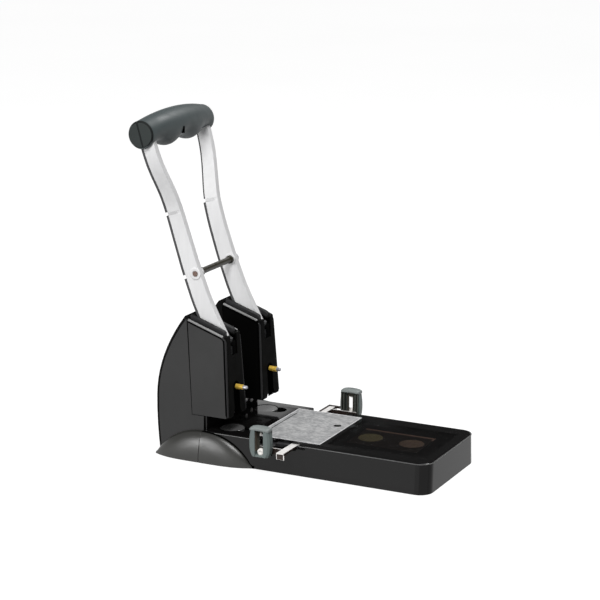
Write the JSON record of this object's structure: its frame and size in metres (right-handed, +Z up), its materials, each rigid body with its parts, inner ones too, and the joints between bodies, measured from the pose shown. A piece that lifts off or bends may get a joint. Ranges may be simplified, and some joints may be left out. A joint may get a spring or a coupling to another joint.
{
  "type": "two-hole paper punch",
  "caption": "Tall lever paper punch with paired towers, a long two-armed handle, a paper table with storage lid and sliding guides.",
  "frame": {"origin": "bottom centre of the machine's box, on the desk", "axes": "+Z up, -Y towards the front edge of the paper table, +X to the right seen from the front"},
  "size_m": [0.183, 0.3551, 0.3789],
  "materials": {
    "table_black": "high gloss",
    "satin_black": "satin",
    "cap_plastic": "satin",
    "dark_steel": "blackened",
    "bright_steel": "polished",
    "brass": "polished",
    "arm_metal": "brushed",
    "strip_plastic": "satin",
    "grip_rubber": "satin",
    "rubber": "matt",
    "label_metal": "satin",
    "disc_plastic": "satin",
    "tray_plastic": "satin",
    "smoked_plastic": "smoked, clear",
    "guide_plastic": "satin",
    "pale_plastic": "satin"
  },
  "bodies": {
    "base": {"back_stop": "table_black", "base_shell": "table_black", "bottom_plate": "dark_steel", "foot_cover_front_left": "satin_black", "foot_cover_front_right": "satin_black", "foot_cover_rear_left": "satin_black", "foot_cover_rear_right": "satin_black", "foot_front_left": "rubber", "foot_front_right": "rubber", "foot_rear_left": "rubber", "foot_rear_right": "rubber", "guide_block_left": "dark_steel", "guide_block_right": "dark_steel", "guide_channel": "dark_steel", "label_plate": "label_metal", "lever_axle_left": "bright_steel", "lever_axle_right": "bright_steel", "rear_cover": "satin_black", "return_spring_left": "bright_steel", "return_spring_right": "bright_steel", "spare_disc_front": "disc_plastic", "spare_disc_rear": "disc_plastic", "storage_tray": "tray_plastic", "stripper_plate_left": "dark_steel", "stripper_plate_right": "dark_steel", "tower_cap_left": "cap_plastic", "tower_cap_right": "cap_plastic", "tower_cover_left": "satin_black", "tower_cover_right": "satin_black", "tower_frame_left": "dark_steel", "tower_frame_right": "dark_steel"},
    "lever": {"cross_rod": "satin_black", "handle_tube": "bright_steel", "grip_front": "grip_rubber", "grip_rear": "grip_rubber", "arm_left": "arm_metal", "arm_strip_left": "strip_plastic", "lever_cam_left": "dark_steel", "rod_screw_left": "bright_steel", "arm_right": "arm_metal", "arm_strip_right": "strip_plastic", "lever_cam_right": "dark_steel", "rod_screw_right": "bright_steel"},
    "lid": {"storage_lid": "smoked_plastic"},
    "punch_left": {"punch_holder_left": "bright_steel", "hollow_punch_left": "bright_steel", "lock_pin_left": "brass"},
    "disc_left": {"cutting_disc_left": "disc_plastic"},
    "bar_left": {"guide_bar_left": "bright_steel", "guide_screw_left": "pale_plastic"},
    "guide_left": {"paper_guide_left": "guide_plastic"},
    "punch_right": {"punch_holder_right": "bright_steel", "hollow_punch_right": "bright_steel", "lock_pin_right": "brass"},
    "disc_right": {"cutting_disc_right": "disc_plastic"},
    "bar_right": {"guide_bar_right": "bright_steel", "guide_screw_right": "pale_plastic"},
    "guide_right": {"paper_guide_right": "guide_plastic"}
  },
  "joints": [
    {"name": "lever_swing", "type": "hinge", "parent": "base", "child": "lever", "pos_m": [0, 0.09014, 0.128], "axis": [1, 0, 0], "range_deg": [0, 75]},
    {"name": "lid_hinge", "type": "hinge", "parent": "base", "child": "lid", "pos_m": [0, -0.0522, 0.0334], "axis": [-1, 0, 0], "range_deg": [0, 100]},
    {"name": "punch_left_slide", "type": "slide", "parent": "base", "child": "punch_left", "axis": [0, 0, 1], "range_m": [-0.0172, 0], "stiffness_N_per_m": 250, "springref_m": 0.012, "deforming": ["return_spring_left"]},
    {"name": "disc_left_turn", "type": "hinge", "parent": "base", "child": "disc_left", "pos_m": [-0.04, 0.0681, 0.0302], "axis": [0, 0, 1], "continuous": true},
    {"name": "bar_left_slide", "type": "slide", "parent": "base", "child": "bar_left", "axis": [-1, 0, 0], "range_m": [-0.008, 0.06]},
    {"name": "guide_left_height", "type": "slide", "parent": "bar_left", "child": "guide_left", "axis": [0, 0, 1], "range_m": [-0.015, 0]},
    {"name": "punch_right_slide", "type": "slide", "parent": "base", "child": "punch_right", "axis": [0, 0, 1], "range_m": [-0.0172, 0], "stiffness_N_per_m": 250, "springref_m": 0.012, "deforming": ["return_spring_right"]},
    {"name": "disc_right_turn", "type": "hinge", "parent": "base", "child": "disc_right", "pos_m": [0.04, 0.0681, 0.0302], "axis": [0, 0, 1], "continuous": true},
    {"name": "bar_right_slide", "type": "slide", "parent": "base", "child": "bar_right", "axis": [1, 0, 0], "range_m": [-0.008, 0.06]},
    {"name": "guide_right_height", "type": "slide", "parent": "bar_right", "child": "guide_right", "axis": [0, 0, 1], "range_m": [-0.015, 0]}
  ],
  "couplings": [
    {"joint": "punch_left_slide", "follows": "lever_swing", "m_per_rad": -0.01314},
    {"joint": "punch_right_slide", "follows": "lever_swing", "m_per_rad": -0.01314}
  ]
}
